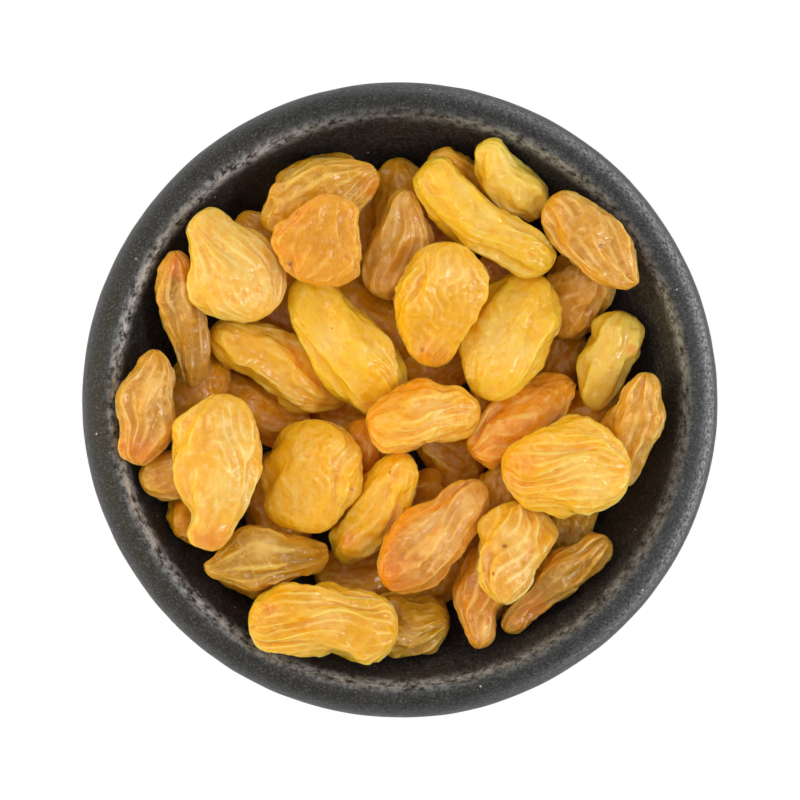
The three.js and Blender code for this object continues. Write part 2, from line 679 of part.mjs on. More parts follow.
    right: [3.6, 4.4, 4.7, 4.5, 4.1, 3.7, 2.3],
  },
  {
    at: [21.9, -9.0], heading: -3, length: 17.4, thickness: 7.2, color: GOLD,
    left: [2.1, 4.1, 5.5, 6.4, 6.3, 5.0, 2.6],
    right: [3.1, 5.7, 6.3, 6.6, 6.1, 5.4, 3.2],
  },
  {
    at: [-10.2, -29.4], heading: -6, length: 20, thickness: 7, ridge: 0.13, color: GOLD,
    left: [2.3, 4.5, 5.3, 5.4, 5.0, 4.7, 2.8],
    right: [3.4, 4.6, 4.3, 4.1, 4.6, 5.2, 3.2],
  },
  {
    at: [-22.3, 18.0], heading: -63, length: 16.5, thickness: 7, ridge: 0.07, color: PALE,
    left: [1.5, 2.8, 4.8, 5.9, 5.9, 4.8, 3.0],
    right: [3.3, 4.4, 5.7, 7.1, 7.0, 5.7, 2.9],
    bumps: [{ at: 0.5, side: UPPER_LEFT, out: 0.1 }],
  },
];

// The few raisins nobody sees go on the floor, each in the widest space that is left there
function floorRaisins() {
  const { length, width, thickness, count, reach, trials } = FLOOR_RAISIN;
  const random = seededRandom(SEEDS.floorHeadings);
  const taken = MIDDLE.map((look) => look.at);
  const found = [];
  const goldenAngle = Math.PI * (3 - Math.sqrt(5));
  for (let i = 0; i < count; i += 1) {
    let widest = { space: -1, at: [0, 0] };
    for (let trial = 0; trial < trials; trial += 1) {
      const radius = reach * Math.sqrt((trial + 0.5) / trials);
      const at = [radius * Math.cos(trial * goldenAngle), radius * Math.sin(trial * goldenAngle)];
      const space = Math.min(...taken.map(([x, y]) => Math.hypot(at[0] - x, at[1] - y)));
      if (space > widest.space) {
        widest = { space, at };
      }
    }
    taken.push(widest.at);
    const heading = 180 * random();
    found.push({ at: widest.at, heading, length, width, thickness, color: BROWN });
  }
  return found;
}

function layerOf(looks, layer, facets) {
  return looks.map((look, i) => {
    const raisin = new SettlingRaisin(look, layer, i, SEEDS[layer] + i, facets);
    raisin.name = `raisin_${layer}_${String(i + 1).padStart(2, '0')}`;
    return raisin;
  });
}

function raisinMesh(raisin) {
  const look = { color: raisin.look.color, roughness: RAISIN_ROUGHNESS };
  const mesh = new THREE.Mesh(raisin.geometry, new THREE.MeshStandardMaterial(look));
  mesh.name = raisin.name;
  mesh.position.copy(raisin.place);
  mesh.quaternion.copy(raisin.turn);
  return mesh;
}

const raisins = [
  ...layerOf(floorRaisins(), 'floor', PLAIN_FACETS),
  ...layerOf(MIDDLE, 'middle', PLAIN_FACETS),
  ...layerOf(TOP, 'top', FINE_FACETS),
];
settlePile(raisins);
const pile = new PileMap();
[...raisins].sort((a, b) => a.place.z - b.place.z).forEach((raisin) => rest(raisin, pile));

const bowl = new THREE.Mesh(bowlGeometry(), new THREE.MeshStandardMaterial(BOWL_LOOK));
bowl.name = 'bowl';
const bowlOfRaisins = new THREE.Group();
bowlOfRaisins.add(bowl, ...raisins.map(raisinMesh));

export default bowlOfRaisins;
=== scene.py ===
import json
import math

import bmesh
import bpy
import numpy as np
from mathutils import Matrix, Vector


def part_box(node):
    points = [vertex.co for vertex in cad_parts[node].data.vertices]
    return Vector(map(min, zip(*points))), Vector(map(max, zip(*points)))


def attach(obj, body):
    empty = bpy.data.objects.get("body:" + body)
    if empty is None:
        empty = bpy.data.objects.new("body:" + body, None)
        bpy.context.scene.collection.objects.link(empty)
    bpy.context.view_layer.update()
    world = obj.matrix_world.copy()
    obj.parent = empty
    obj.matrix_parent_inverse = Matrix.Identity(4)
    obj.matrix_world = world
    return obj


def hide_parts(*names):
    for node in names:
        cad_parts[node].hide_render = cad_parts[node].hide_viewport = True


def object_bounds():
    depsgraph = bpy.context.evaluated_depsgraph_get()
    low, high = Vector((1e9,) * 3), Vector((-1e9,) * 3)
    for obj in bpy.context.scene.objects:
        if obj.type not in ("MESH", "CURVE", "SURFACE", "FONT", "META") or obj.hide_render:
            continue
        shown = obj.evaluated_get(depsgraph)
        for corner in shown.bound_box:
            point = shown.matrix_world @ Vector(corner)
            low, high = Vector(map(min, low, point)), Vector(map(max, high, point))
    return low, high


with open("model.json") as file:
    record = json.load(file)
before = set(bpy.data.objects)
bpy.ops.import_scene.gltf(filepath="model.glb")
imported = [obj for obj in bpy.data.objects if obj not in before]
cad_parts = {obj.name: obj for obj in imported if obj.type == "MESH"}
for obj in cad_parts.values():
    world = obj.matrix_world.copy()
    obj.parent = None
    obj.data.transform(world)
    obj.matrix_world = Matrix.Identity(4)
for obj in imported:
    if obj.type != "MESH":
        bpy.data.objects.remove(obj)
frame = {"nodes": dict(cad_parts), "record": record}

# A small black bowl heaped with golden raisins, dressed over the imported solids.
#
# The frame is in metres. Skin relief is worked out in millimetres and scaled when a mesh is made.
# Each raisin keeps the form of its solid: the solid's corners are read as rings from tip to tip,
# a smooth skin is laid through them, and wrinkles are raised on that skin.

cad_low, cad_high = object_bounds()

MM = 0.001

# Photograph: the camera looks straight down from this height on the bowl, which fills this share
# of the frame and is widest at the last height, in metres
CAMERA_HEIGHT = 1.2
BOWL_SHARE_OF_FRAME = 0.794
WIDEST_HEIGHT = 0.018

# Fineness of the raisins' skins, as the length of a mesh edge in millimetres
RAISIN_EDGES = {"raisin_top": 0.215, "raisin_middle": 0.36, "raisin_floor": 0.8}

# How far the space in which the grain and the finest creases are laid is drawn together lengthwise
LENGTHWISE_DRAW = 0.35


# Smooth random fields

# Large odd numbers that mix the three places of a cell and the seed, and the bits kept of it
CELL_FACTORS = (73856093, 19349663, 83492791)
SEED_FACTOR = 2654435761
MIX_FACTOR = 1274126177
KEPT_BITS = 0xFFFFFF

# The middle of the frame lies in the middle of a cell, and the noise is stretched to fill -1 to 1
CELL_SHIFT = 100.5
NOISE_STRETCH = 1.6

# How a skin buckles: how fast folds grow, how much crests differ from valleys, the unevenness it
# starts from, the length and number of the steps, and how much of the skin, in percent, ends
# flat in the valleys and as much again on the crests
FOLD_GROWTH = 0.35
FOLD_BIAS = 0.25
FIRST_UNEVENNESS = 0.1
FOLD_STEP = 0.8
FOLD_STEPS = 90
FLAT_PERCENT = 3


def lattice_values(cells, seed):
    """A fixed random value between -1 and 1 for each whole-numbered cell in space."""
    mixed = seed * SEED_FACTOR
    for axis, factor in enumerate(CELL_FACTORS):
        mixed = mixed ^ (cells[..., axis].astype(np.int64) * factor)
    mixed = (mixed ^ (mixed >> 13)) * MIX_FACTOR
    mixed = (mixed ^ (mixed >> 16)) & KEPT_BITS
    return mixed / (KEPT_BITS // 2) - 1.0


def noise(points, size, seed):
    """Smooth noise between about -1 and 1 with features of the given size."""
    scaled = points / size + CELL_SHIFT
    cells = np.floor(scaled)
    part = scaled - cells
    ease = part * part * part * (part * (part * 6 - 15) + 10)
    total = 0.0
    for corner in range(8):
        step = np.array([corner & 1, (corner >> 1) & 1, (corner >> 2) & 1])
        weight = np.prod(np.where(step == 1, ease, 1 - ease), axis=-1)
        total = total + weight * lattice_values(cells + step, seed)
    return NOISE_STRETCH * total


def rise(values, start, end):
    """0 up to the start, then straight up to 1 at the end, which may also lie below the start."""
    return np.clip((values - start) / (end - start), 0, 1)


def hump(places, middle, breadth):
    """1 at the middle, falling off smoothly to both sides."""
    return np.exp(-((places - middle) / breadth) ** 2)


def folds(rows, columns, length, girth, spacing, straightness, seed):
    """Folds of a shrunken skin, 0 in the valleys to 1 on the crests, on a strip length by girth.

    The skin buckles at its own spacing wherever it can, which leaves ridges that run mostly
    lengthwise, meander, fork and end. straightness holds them to the length.
    """
    random = np.random.default_rng(seed)
    along = 2 * np.pi * np.fft.fftfreq(rows, length / rows)[:, None]
    across = 2 * np.pi * np.fft.rfftfreq(columns, girth / columns)[None, :]
    own = (2 * np.pi / spacing) ** 2
    off_spacing = ((along ** 2 + across ** 2) / own - 1) ** 2
    growth = FOLD_GROWTH - off_spacing - straightness * along ** 2 / own
    keep = 1 / (1 - FOLD_STEP * growth)
    skin = FIRST_UNEVENNESS * random.standard_normal((rows, columns))
    for _ in range(FOLD_STEPS):
        push = FOLD_BIAS * skin ** 2 - skin ** 3
        skin = np.fft.irfft2(keep * np.fft.rfft2(skin + FOLD_STEP * push), s=(rows, columns))
    low, high = np.percentile(skin, [FLAT_PERCENT, 100 - FLAT_PERCENT])
    return rise(skin, low, high)


# Skins laid over the solids

def rings_of(node):
    """A solid's two tips and the rings of corners between them, in order, in millimetres.

    The tips are the two corners where the most edges meet.
    """
    solid = bmesh.new()
    solid.from_mesh(frame["nodes"][node].data)
    bmesh.ops.remove_doubles(solid, verts=solid.verts, dist=1e-6)
    tips = sorted(solid.verts, key=lambda corner: -len(corner.link_edges))[:2]
    tips.sort(key=lambda corner: (corner.co.z, corner.co.x))
    seen = {tips[0]}
    ring = {edge.other_vert(tips[0]) for edge in tips[0].link_edges}
    rings = []
    while tips[1] not in ring:
        seen |= ring
        rings.append(walk_round(ring))
        ring = {edge.other_vert(corner) for corner in ring for edge in corner.link_edges} - seen
    ends = [np.array(tip.co) / MM for tip in tips]
    solid.free()
    return ends, aligned(rings, ends[1] - ends[0])


def walk_round(ring):
    """The places of a closed ring of corners, in the order in which they join."""
    start = min(ring, key=lambda corner: tuple(corner.co))
    order = [start]
    while len(order) < len(ring):
        joined = [edge.other_vert(order[-1]) for edge in order[-1].link_edges]
        order.append(next(corner for corner in joined if corner in ring and corner not in order))
    return np.array([corner.co for corner in order]) / MM


def aligned(rings, axis):
    """Turns every ring the same way round the axis and starts it beside the ring before."""
    turned = []
    for ring in rings:
        offsets = ring - ring.mean(axis=0)
        area = np.cross(offsets, np.roll(offsets, -1, axis=0)).sum(axis=0)
        if area @ axis < 0:
            ring = ring[::-1]
        if turned:
            shifts = [np.roll(ring, shift, axis=0) for shift in range(len(ring))]
            ring = min(shifts, key=lambda shifted: ((shifted - turned[-1]) ** 2).sum())
        turned.append(ring)
    return np.array(turned)


def curve_weights(places, count, closed):
    """Weights that run a smooth curve through count points, read at the given places."""
    weights = np.zeros((len(places), count))
    first = np.floor(places).astype(int)
    if not closed:
        first = np.clip(first, 1, count - 3)
    t = places - first
    cubic = [
        (-t + 2 * t ** 2 - t ** 3) / 2,
        (2 - 5 * t ** 2 + 3 * t ** 3) / 2,
        (t + 4 * t ** 2 - 3 * t ** 3) / 2,
        (-t ** 2 + t ** 3) / 2,
    ]
    rows = np.arange(len(places))
    for offset, weight in zip((-1, 0, 1, 2), cubic):
        columns = first + offset
        if closed:
            columns = columns % count
        np.add.at(weights, (rows, columns), weight)
    return weights


def even_places(points, count):
    """Places along a line of points that divide its length evenly, ends included, and that length."""
    steps = np.linalg.norm(np.diff(points, axis=0), axis=1)
    reached = np.concatenate([[0], np.cumsum(steps)])
    return np.interp(np.linspace(0, reached[-1], count), reached, np.arange(len(points))), reached[-1]


def even_count(length, edge):
    """How many steps of about the given edge go into a length, as an even number."""
    return 2 * int(length / edge / 2)


class Skin:
    """A closed skin of points in millimetres: rows from tip to tip and columns round the axis."""

    def __init__(self, points, axis):
        self.points = points
        self.rows = points.shape[0] - 1
        self.columns = points.shape[1]
        self.axis = axis / np.linalg.norm(axis)
        self.find_normals()

    def find_normals(self):
        """Works out which way is out at each point, and each row's girth against the largest."""
        down = np.gradient(self.points, axis=0)
        round_it = np.roll(self.points, -1, axis=1) - np.roll(self.points, 1, axis=1)
        normals = np.cross(round_it, down)
        normals[0] = -self.axis
        normals[-1] = self.axis
        normals /= np.linalg.norm(normals, axis=2, keepdims=True)
        out = self.points - self.points.mean(axis=1, keepdims=True)
        if (normals[1:-1] * out[1:-1]).sum() < 0:
            normals[1:-1] *= -1
        self.normals = normals
        girths = np.linalg.norm(np.roll(self.points, -1, axis=1) - self.points, axis=2).sum(axis=1)
        self.slimness = girths / girths.max()

    def raise_by(self, heights):
        """Moves the skin out by heights in millimetres, the same all round at each tip."""
        heights = heights.copy()
        heights[0] = heights[1].mean()
        heights[-1] = heights[-2].mean()
        self.points = self.points + heights[:, :, None] * self.normals
        self.find_normals()

    def drawn_together(self, points):
        """Places drawn together lengthwise, so that a pattern laid in them runs along."""
        return points - LENGTHWISE_DRAW * (points @ self.axis)[..., None] * self.axis

    def to_object(self, name, values):
        """A mesh object of the skin, with a value for each corner under each name in values."""
        inner = self.points[1:-1].reshape(-1, 3)
        corners = np.concatenate([self.points[:1, 0], inner, self.points[-1:, 0]]) * MM
        rows, columns = self.rows - 1, self.columns
        index = 1 + np.arange(rows * columns).reshape(rows, columns)
        beside = np.roll(index, -1, axis=1)
        quads = np.stack([index[:-1], beside[:-1], beside[1:], index[1:]], axis=-1).reshape(-1, 4)
        last = len(corners) - 1
        first_fan = [(0, b, a) for a, b in zip(index[0], beside[0])]
        last_fan = [(last, a, b) for a, b in zip(index[-1], beside[-1])]
        mesh = bpy.data.meshes.new(name)
        mesh.from_pydata(corners.tolist(), [], quads[:, ::-1].tolist() + first_fan + last_fan)
        face_outwards(mesh)
        mesh.shade_smooth()
        for value_name, value in values.items():
            flat = np.concatenate([[value[0].mean()], value[1:-1].ravel(), [value[-1].mean()]])
            layer = mesh.attributes.new(value_name, "FLOAT", "POINT")
            layer.data.foreach_set("value", flat.astype(np.float32))
        layer = mesh.attributes.new("along_skin", "FLOAT_VECTOR", "POINT")
        layer.data.foreach_set("vector", self.drawn_together(corners).astype(np.float32).ravel())
        piece = bpy.data.objects.new(name, mesh)
        bpy.context.scene.collection.objects.link(piece)
        return piece


class SolidSkin(Skin):
    """A fine smooth skin through the rings of a raisin's solid."""

    def __init__(self, node, edge):
        ends, rings = rings_of(node)
        around = rings.shape[1]
        girths = np.linalg.norm(rings - np.roll(rings, 1, axis=1), axis=2).sum(axis=1)
        self.girth = girths.max()
        tips = [np.repeat(end[None, :], around, axis=0) for end in ends]
        # A line that runs over a tip goes on down the other side
        beyond = [np.roll(rings[i], around // 2, axis=0) for i in (0, -1)]
        lines = np.array([beyond[0], tips[0], *rings, tips[1], beyond[1]])
        side_line = np.array([ends[0], *rings[:, 0], ends[1]])
        rough_length = np.linalg.norm(np.diff(side_line, axis=0), axis=1).sum()
        rows = even_count(rough_length, edge) + 1
        columns = even_count(self.girth, edge)
        places, self.length = even_places(side_line, rows)
        down = curve_weights(places + 1, len(lines), closed=False)
        turn = curve_weights(np.arange(columns) * around / columns, around, closed=True)
        super().__init__(np.einsum("rk,kac,ja->rjc", down, lines, turn), ends[1] - ends[0])


def face_outwards(mesh):
    """Turns the faces out, where a mesh was made inside out."""
    fresh = bmesh.new()
    fresh.from_mesh(mesh)
    if fresh.calc_volume(signed=True) < 0:
        bmesh.ops.reverse_faces(fresh, faces=fresh.faces)
    fresh.to_mesh(mesh)
    fresh.free()


# Raisins

# How a raisin's skin is wrinkled, unless its own look says otherwise: the spacing of its fine
# folds in millimetres, how straight they run from tip to tip, and the height of its fine folds,
# broad folds and dents in millimetres. tone lightens or darkens the skin, warmth turns it
# towards orange or yellow, milk makes it cloudy and lines are the pale threads in it, partly
# the skin's own and partly painted highlight.
PLAIN_LOOK = {
    "spacing": 1.35, "straight": 0.06, "fine": 0.15, "broad": 0.08, "dents": 0.1,
    "tone": 0.0, "warmth": 0.0, "milk": 1.0, "lines": 0.9,
}

# The look of the raisins in the gaps and on the floor
LOWER_LOOK = {**PLAIN_LOOK, "lines": 0.45}

# Kinds of touch that colour the skin: orange and brown stains, pale patches that are partly
# painted highlights, and small painted highlights. A smooth touch holds its wrinkles down instead.
COLOUR_TOUCHES = ("orange", "brown", "pale", "painted_highlight")

# Looks of the raisins on top. Each touch is (kind, x, y, radius): a patch of the skin at x, y from
# the raisin's middle, seen from above, in millimetres.
LOOKS = {
    "raisin_top_01": {
        "milk": 0.6, "spacing": 1.7, "straight": 0.2, "fine": 0.16, "broad": 0.3,
        "touches": [
            ("painted_highlight", -2.6, -0.9, 1.0),
            ("painted_highlight", -4.9, -2.3, 0.9),
            ("painted_highlight", 1.0, 0.7, 1.0),
        ],
    },
    "raisin_top_02": {"milk": 0.5, "tone": -0.1, "straight": 0.3, "warmth": 0.1},
    "raisin_top_03": {"tone": -0.7, "straight": 0.8, "touches": [("pale", 0.7, -4.5, 1.3)]},
    "raisin_top_04": {"tone": -0.3, "spacing": 1.3, "straight": 0.3},
    "raisin_top_05": {
        "tone": -0.85, "warmth": 0.1, "straight": 0.9, "broad": 0.26,
        "touches": [("orange", -1.6, 7.5, 2.5), ("painted_highlight", 0.4, 1.0, 1.5)],
    },
    "raisin_top_06": {
        "tone": -0.15, "straight": 0.5, "broad": 0.28,
        "touches": [("orange", -1.4, -6.1, 3.0), ("pale", 0.8, 2.0, 1.6)],
    },
    "raisin_top_07": {
        "milk": 0.6, "spacing": 1.2, "straight": 1.2, "fine": 0.16, "broad": 0.14, "tone": 0.15,
        "touches": [("painted_highlight", 3.1, -3.2, 0.9), ("painted_highlight", -1.2, 4.4, 1.2)],
    },
    "raisin_top_08": {
        "milk": 0.6, "tone": 0.1, "spacing": 1.15, "straight": 2.2, "fine": 0.12,
        "touches": [("painted_highlight", -0.6, 1.2, 1.8)],
    },
    "raisin_top_09": {"milk": 1.5, "tone": 0.5, "spacing": 1.3, "straight": 0.4},
    "raisin_top_10": {"tone": -0.15, "straight": 0.5, "touches": [("brown", 1.4, -0.8, 0.5)]},
    "raisin_top_11": {"straight": 0.4, "broad": 0.3},
    "raisin_top_12": {
        "tone": -0.9, "straight": 0.5, "broad": 0.32,
        "touches": [("orange", -3.1, -4.2, 2.5)],
    },
    "raisin_top_13": {
        "tone": -0.8, "straight": 0.8, "spacing": 1.9, "fine": 0.12,
        "touches": [("painted_highlight", -8.0, -2.0, 1.6), ("pale", -0.6, 1.5, 1.6)],
    },
    "raisin_top_14": {"straight": 0.5, "touches": [("orange", 7.3, 1.9, 1.6)]},
    "raisin_top_15": {
        "milk": 0.7, "straight": 0.4, "spacing": 1.3, "fine": 0.1,
        "touches": [
            ("painted_highlight", 1.0, 2.2, 1.6),
            ("pale", -0.9, -6.6, 1.5),
            ("brown", 2.1, 4.8, 0.3),
            ("orange", -3.4, -4.6, 1.4),
        ],
    },
    "raisin_top_16": {
        "milk": 0.4, "tone": -0.5, "straight": 0.2, "spacing": 1.5, "warmth": -0.8,
        "touches": [("brown", -2.3, 3.5, 0.5), ("brown", -3.4, -3.2, 0.45), ("smooth", 0.3, 0.4, 3.2)],
    },
    "raisin_top_17": {
        "straight": 0.2, "spacing": 1.6, "fine": 0.16, "broad": 0.3, "warmth": 0.25, "tone": -0.35,
        "touches": [("pale", 0.0, 2.3, 2.0), ("brown", -1.8, 0.9, 0.5), ("brown", -3.4, -2.7, 0.35)],
    },
    "raisin_top_18": {
        "tone": 0.5, "fine": 0.08, "straight": 0.6, "broad": 0.05, "dents": 0.06,
        "touches": [("orange", 3.0, 1.4, 0.9), ("smooth", -0.8, 0.0, 3.6)],
    },
    "raisin_top_19": {
        "tone": -0.1, "fine": 0.09, "straight": 1.2, "dents": 0.08,
        "touches": [
            ("pale", 0.6, -2.0, 2.2),
            ("pale", 1.0, 5.5, 1.6),
            ("orange", -1.0, -9.6, 2.4),
            ("smooth", -2.4, 0.0, 3.6),
        ],
    },
    "raisin_top_20": {
        "milk": 0.7, "spacing": 1.4, "straight": 0.05, "fine": 0.11, "broad": 0.14,
        "touches": [("brown", 5.4, -1.8, 0.35), ("smooth", -3.6, 2.2, 3.0)],
    },
    "raisin_top_21": {
        "milk": 0.35, "tone": 0.04, "straight": 1.5, "fine": 0.14,
        "touches": [
            ("smooth", -4.8, 4.7, 4.5),
            ("pale", -2.8, 0.4, 2.2),
            ("pale", 2.6, -0.7, 1.3),
            ("brown", -2.1, 2.1, 0.22),
        ],
    },
    "raisin_top_22": {
        "tone": 0.05, "fine": 0.1, "straight": 0.6,
        "touches": [("pale", -1.9, -1.4, 2.6), ("pale", 1.6, -2.4, 1.5), ("smooth", 0.0, -2.6, 4.6)],
    },
    "raisin_top_23": {
        "tone": -0.2, "straight": 0.1,
        "touches": [("pale", 1.4, 4.2, 1.8), ("orange", -1.2, -7.3, 2.2), ("brown", -2.4, -6.0, 0.35)],
    },
    "raisin_top_24": {
        "milk": 0.6, "tone": 0.04, "straight": 1.6, "fine": 0.12,
        "touches": [
            ("brown", -8.3, 6.6, 0.7),
            ("smooth", -3.0, 2.4, 3.6),
            ("pale", -2.6, 3.6, 1.5),
            ("pale", 0.6, 0.4, 1.7),
            ("pale", 4.0, -1.2, 1.5),
        ],
    },
    "raisin_top_25": {
        "tone": -0.85, "straight": 0.3, "spacing": 1.7, "fine": 0.1, "broad": 0.16, "milk": 0.4,
        "touches": [
            ("orange", -5.4, -5.1, 3.2),
            ("painted_highlight", -3.0, -4.6, 1.4),
            ("painted_highlight", -0.4, -0.8, 1.6),
            ("pale", 0.6, 0.6, 4.0),
            ("pale", 4.4, 4.2, 2.6),
        ],
    },
    "raisin_top_26": {
        "straight": 2.0, "spacing": 1.2, "fine": 0.1, "warmth": -0.6,
        "touches": [("brown", 0.2, -3.9, 0.5), ("pale", 1.2, 0.4, 2.4)],
    },
    "raisin_top_27": {
        "straight": 1.2, "spacing": 1.15, "fine": 0.2,
        "touches": [("orange", -6.7, 0.1, 2.4), ("pale", 1.0, 0.6, 2.6), ("pale", 4.0, -2.0, 2.6)],
    },
    "raisin_top_28": {
        "milk": 0.8, "straight": 0.8, "spacing": 1.25, "fine": 0.2, "broad": 0.05, "dents": 0.05,
        "tone": -0.35, "lines": 0.6,
        "touches": [("orange", -7.0, 1.9, 0.9), ("brown", -9.2, -0.4, 0.5), ("pale", 0.5, 1.0, 2.6)],
    },
    "raisin_top_29": {
        "tone": 0.05, "straight": 0.4, "fine": 0.12, "dents": 0.08,
        "touches": [("pale", 1.4, -0.6, 3.0)],
    },
}

# Colour of the skin, as 0 to 255 a channel
RAISIN_COLOURS = {
    "raisin_gold": (249, 190, 16),
    "raisin_yellow": (253, 198, 14),
    "raisin_pale": (251, 194, 62),
    "raisin_orange": (242, 162, 18),
    "raisin_olive": (214, 158, 14),
    "raisin_tan": (222, 164, 42),
    "raisin_amber": (240, 174, 10),
    "raisin_brown": (230, 160, 10),
}

# Pale of ridges and threads, partly the skin's own and partly painted highlight, and of the painted
# edge light, where it isn't the usual light gold
USUAL_RIDGE = (255, 209, 116)
RIDGE_COLOURS = {
    "raisin_pale": (255, 224, 150),
    "raisin_tan": (246, 206, 128),
    "raisin_olive": (238, 202, 104),
    "raisin_amber": (246, 196, 96),
    "raisin_brown": (240, 186, 88),
}

# How the folds lie, against a look's own spacing and straightness, and how narrow crests are
FINE_STRAIGHTNESS = 0.4
BROAD_STRAIGHTNESS = 0.3
BROAD_SPACING = 2.7
FINE_NARROWNESS = 5.0
BROAD_NARROWNESS = 1.2

# How the folds are raised, against a look's own heights: the level on the way from valley to
# crest at which the skin stays where it is, and how far a smooth touch holds the folds down
FINE_LIFT = 1.3
FINE_LEVEL = 0.3
BROAD_LEVEL = 0.4
FINE_SMOOTHED = 0.85
BROAD_SMOOTHED = 0.6

# How unevenly fine folds are raised, and how both kinds fade towards the tips
USUAL_STRENGTH = 0.75
STRENGTH_SWING = 0.6
STRENGTH_LIMITS = (0.1, 1.2)
FINE_FADE = (1.5, 0.35)
BROAD_FADE = 0.6

# Sizes of noise features over a raisin, and the heights of its two crinkles, in millimetres
STRENGTH_SIZE = 3.0
DENT_SIZE = 3.6
CRINKLES = ((0.09, 1.7), (0.085, 0.85))
PATCH_SIZE = 4.0
RAGGED_SIZE = 0.9

# How ragged touches are, from which lean to which they come in as a side faces up, and how
# sharply the threads come and go in patches
RAGGEDNESS = 0.3
TOUCHED_SIDES = (-0.3, 0.2)
PATCH_SWING = 1.1

# Where a side has turned far enough from facing up for the painted edge light to start, which
# stands in for light let through thin skin, and how close to the tips their colour keeps
EDGE_LIGHT_START = 0.8
TIP_CLOSENESS = 3

# Light let through: how fast it rises as a side turns from facing up, and how much of it reaches
# a side, which is less on the right, where the key lamp is, and a little more at the back
GLOW_RISE = 1.7
GLOW_USUAL = 0.6
GLOW_RIGHT = -0.7
GLOW_BACK = 0.15

# Pale crests, partly the skin's own lighter ridges and partly painted highlight: their share
# without milk and what milk adds
CREST_USUAL = 0.4
CREST_MILK = 0.6


def touch_values(skin, name, look):
    """For each kind of touch, how much of it there is at each corner of the skin."""
    low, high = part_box(name)
    middle = np.array([(low[0] + high[0]) / 2, (low[1] + high[1]) / 2]) / MM
    values = {kind: np.zeros(skin.points.shape[:2]) for kind in (*COLOUR_TOUCHES, "smooth")}
    faces_up = rise(skin.normals[..., 2], *TOUCHED_SIDES)
    ragged = 1 + RAGGEDNESS * noise(skin.points, RAGGED_SIZE, len(name) + int(name[-2:]))
    for kind, x, y, radius in look.get("touches", []):
        away = np.hypot(skin.points[..., 0] - middle[0] - x, skin.points[..., 1] - middle[1] - y)
        patch = hump(away * ragged, 0, radius) * faces_up
        values[kind] = np.maximum(values[kind], patch)
    return values


def narrowed(folds_of_skin, narrowness):
    """Folds from 0 to 1 with their crests made narrow and their valleys wide."""
    return np.expm1(narrowness * folds_of_skin) / math.expm1(narrowness)


def wrinkle(skin, name, look, touches):
    """Raises the wrinkles on a skin and gives how far up a crest each corner lies."""
    salt = sum(ord(letter) * (place + 1) for place, letter in enumerate(name))
    strip = (skin.rows + 1, skin.columns, skin.length, skin.girth)
    fine = folds(*strip, look["spacing"], FINE_STRAIGHTNESS * look["straight"], salt)
    broad = folds(
        *strip, BROAD_SPACING * look["spacing"], BROAD_STRAIGHTNESS * look["straight"], salt + 1)
    crest = narrowed(fine, FINE_NARROWNESS)
    broad_crest = narrowed(broad, BROAD_NARROWNESS)
    slimness = skin.slimness[:, None]
    rough = USUAL_STRENGTH + STRENGTH_SWING * noise(skin.points, STRENGTH_SIZE, salt + 2)
    strength = np.clip(rough, *STRENGTH_LIMITS) * (1 - FINE_SMOOTHED * touches["smooth"])
    strength = strength * np.clip(FINE_FADE[0] * slimness - FINE_FADE[1], 0, 1)
    slim = slimness ** BROAD_FADE
    left = slim * (1 - BROAD_SMOOTHED * touches["smooth"])
    heights = FINE_LIFT * look["fine"] * strength * (crest - FINE_LEVEL)
    heights += look["broad"] * left * (broad_crest - BROAD_LEVEL)
    heights += look["dents"] * slim * noise(skin.points, DENT_SIZE, salt + 3)
    for place, (height, size) in enumerate(CRINKLES):
        heights += height * left * noise(skin.points, size, salt + 4 + place)
    skin.raise_by(heights)
    return crest * strength


def raisin(name, slot, edge):
    """One raisin: its solid's form with a wrinkled skin, riding on the same body."""
    look = {**(PLAIN_LOOK if name in LOOKS else LOWER_LOOK), **LOOKS.get(name, {})}
    skin = SolidSkin(name, edge)
    touches = touch_values(skin, name, look)
    right, back, up = (skin.normals[..., axis] for axis in range(3))
    # Painted edge light: how far a side has turned from facing up, for painting it lighter
    painted_edge_light = rise(np.abs(up), EDGE_LIGHT_START, 0)
    away_from_lamp = np.clip(GLOW_USUAL + GLOW_RIGHT * right + GLOW_BACK * back, 0, 1)
    glow = np.clip(GLOW_RISE * (1 - np.abs(up)), 0, 1) * away_from_lamp
    uneven = noise(skin.points, PATCH_SIZE, len(slot) + int(name[-2:]))
    patches = np.clip(0.5 + PATCH_SWING * uneven, 0, 1)
    crest = wrinkle(skin, name, look, touches)
    everywhere = np.ones(crest.shape)
    values = {
        "crest": crest * (CREST_USUAL + CREST_MILK * look["milk"]),
        "tips": everywhere * (1 - skin.slimness[:, None]) ** TIP_CLOSENESS,
        "painted_edge_light": painted_edge_light,
        "glow": glow,
        "lines": look["lines"] * patches * (1 - FINE_SMOOTHED * touches["smooth"]),
        "tone": everywhere * look["tone"],
        "warmth": everywhere * look["warmth"],
        "milk": everywhere * look["milk"],
        **{kind: touches[kind] for kind in COLOUR_TOUCHES},
    }
    piece = skin.to_object("skin_" + name[len("raisin_"):], values)
    piece.data.materials.append(raisin_material(slot))
    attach(piece, "root")
    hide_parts(name)


# Materials

def linear(red, green, blue):
    """A colour given as 0 to 255 a channel, as the shader takes it."""
    channels = [channel / 255 for channel in (red, green, blue)]
    curved = [c / 12.92 if c <= 0.04045 else ((c + 0.055) / 1.055) ** 2.4 for c in channels]
    return (*curved, 1.0)


